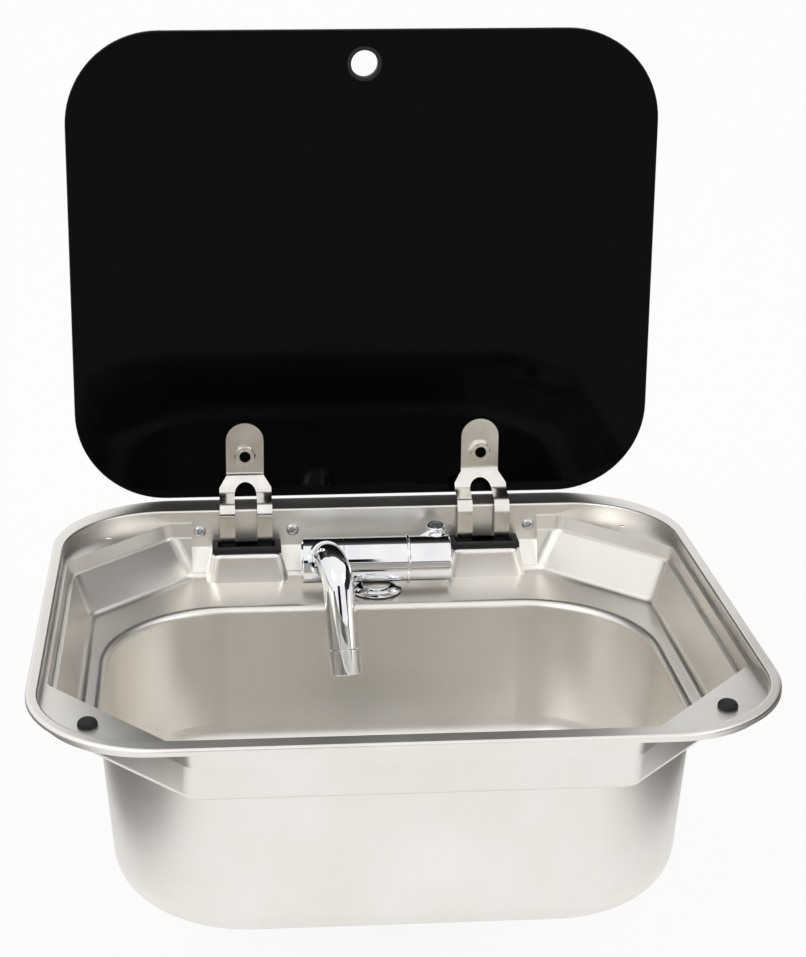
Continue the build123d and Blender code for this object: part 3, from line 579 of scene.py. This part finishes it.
# a dark cup of painted shade in each lid bolt's front, in place of the shadow in its bore
cup = turned([(0, 0.5 * MM), (3.6 * MM, 0.5 * MM), (3.6 * MM, -3.6 * MM), (3.85 * MM, -3.6 * MM),
              (3.85 * MM, 1.0 * MM), (0, 1.0 * MM)])
cup.transform(Matrix.Rotation(-pi / 2, 4, "X"))
bore_shade = grown("bolt_bore_shade", row, cup, {"Count": 2, "Step": (2 * HINGE_X, 0, 0), "Finish": recess_shade})
placed(bore_shade, Matrix.Translation((0, bolt_front + 4.6 * MM, BOLT_Z)))
ride(bore_shade, "lid")


# ---------------------------------------------------------------- studio

def light_seen(tree):
    """1 for a camera, glossy or transmission ray, so metal and glass show the background too."""
    ray = add(tree, "ShaderNodeLightPath").outputs
    seen = add(tree, "ShaderNodeMath", {0: ray["Is Camera Ray"], 1: ray["Is Glossy Ray"]},
               operation="ADD")
    return add(tree, "ShaderNodeMath", {0: seen.outputs[0], 1: ray["Is Transmission Ray"]},
               operation="ADD", use_clamp=True).outputs[0]


def studio_sheet(name, points, left, right, colour, glow=0.0, shown=True):
    """A sheet of paper swept sideways along (y, z) points; unless shown, it is hidden and only
    reflections show it.
    """
    data = bpy.data.meshes.new(name)
    rows = [[(x, y, z) for x in (left, right)] for y, z in points]
    faces = [(2 * i, 2 * i + 1, 2 * i + 3, 2 * i + 2) for i in range(len(points) - 1)]
    data.from_pydata([v for pair in rows for v in pair], [], faces)
    body = holder(name, data)
    for face in data.polygons:
        face.use_smooth = True
    paper = bpy.data.materials.new(name)
    paper.use_nodes = True
    tree = paper.node_tree
    skin = tree.nodes["Principled BSDF"]
    skin.inputs["Base Color"].default_value = linear(colour)
    skin.inputs["Roughness"].default_value = 0.9
    skin.inputs["Specular IOR Level"].default_value = 0.1
    if glow:
        share = add(tree, "ShaderNodeMath", {0: light_seen(tree), 1: glow}, operation="MULTIPLY")
        white = add(tree, "ShaderNodeEmission", {"Color": linear("#ffffff"), "Strength": 1.0})
        mix = add(tree, "ShaderNodeMixShader", {
            0: share.outputs[0], 1: skin.outputs[0], 2: white.outputs[0]})
        tree.links.new(mix.outputs[0], tree.nodes["Material Output"].inputs[0])
    data.materials.append(paper)
    body.visible_camera = body.visible_diffuse = body.visible_shadow = shown
    return body


FLOOR_Z = cad_box[0][2] - 0.0005
MAT_Z = FLOOR_Z + 0.002
SWEEP_R = 1.2
CARD_Y = -1.4
BACK_Y = 1.6
SIDE_X = 1.3
MAT_DEPTH = [(-0.32, MAT_Z), (0.90, MAT_Z)]
DARK = "#2b2927"
MID = "#75716c"

curve = [(2.4 + SWEEP_R * sin(a), FLOOR_Z + SWEEP_R - SWEEP_R * cos(a))
         for a in [radians(9 * i) for i in range(11)]]
studio_sheet("floor", [(-4.0, FLOOR_Z)] + curve + [(3.6, 4.0)], -5.0, 5.0, "#fdfdfc", glow=0.88)
# dark cards and grey mats out of the picture, which give the steel its dark reflections
studio_sheet("camera_card", [(CARD_Y, 0.60), (CARD_Y, 0.16)], -0.34, 0.14, "#121211", shown=False)
studio_sheet("back_card", [(BACK_Y, 0.66), (BACK_Y, 1.40)], 0.70, 1.60, "#3a3734", shown=False)
studio_sheet("mat_left", MAT_DEPTH, -0.95, -0.29, MID, shown=False)
studio_sheet("mat_right", MAT_DEPTH, 0.31, 0.95, MID, shown=False)
side_card = studio_sheet("side_card", [(-1.3, 0), (1.3, 0)], -0.19, 0.85, DARK, shown=False)
side_card.data.transform(Matrix.Translation((SIDE_X, 0, 0)) @ Matrix.Rotation(-pi / 2, 4, "Y"))

world = bpy.data.worlds.new("studio")
bpy.context.scene.world = world
world.use_nodes = True
sky = world.node_tree
sky.nodes.clear()
level = add(sky, "ShaderNodeMapRange", {0: light_seen(sky), 3: 0.75, 4: 1.0})
back = add(sky, "ShaderNodeBackground", {"Color": linear("#ffffff"), "Strength": level.outputs[0]})
add(sky, "ShaderNodeOutputWorld", {0: back.outputs[0]})


def softbox(name, place, aim, size, watts):
    """A square soft lamp aimed at a point."""
    lamp = bpy.data.lights.new(name, "AREA")
    lamp.shape = "RECTANGLE"
    lamp.size, lamp.size_y = size
    lamp.energy = watts
    body = bpy.data.objects.new(name, lamp)
    bpy.context.scene.collection.objects.link(body)
    body.location = place
    way = Vector(aim) - Vector(place)
    body.rotation_euler = way.to_track_quat("-Z", "Y").to_euler()
    return body


softbox("key_box", (-1.5, -1.6, 1.9), (0, 0, -0.05), (1.3, 1.0), 14)
softbox("fill_box", (1.8, -1.2, 1.3), (0, 0, -0.05), (1.0, 1.2), 7)

# The lens and place come from the flange and lid outlines in the photograph
camera_data = bpy.data.cameras.new("camera")
camera_data.sensor_fit = "VERTICAL"
camera_data.sensor_height = 36.0
camera_data.lens = 1934.37 * 36.0 / 957
camera_data.shift_x = (403 - 323) / 957
camera_data.shift_y = (323 - 478.5) / 957
camera = bpy.data.objects.new("camera", camera_data)
bpy.context.scene.collection.objects.link(camera)
azimuth, height = radians(-3.6), radians(15.1)
ahead = Vector((-sin(azimuth) * cos(height), cos(azimuth) * cos(height), -sin(height)))
camera.location = Vector((-107.7, -1090.2, 470.8)) * MM
camera.rotation_euler = ahead.to_track_quat("-Z", "Y").to_euler()
bpy.context.scene.camera = camera
bpy.context.scene.view_settings.view_transform = "Standard"
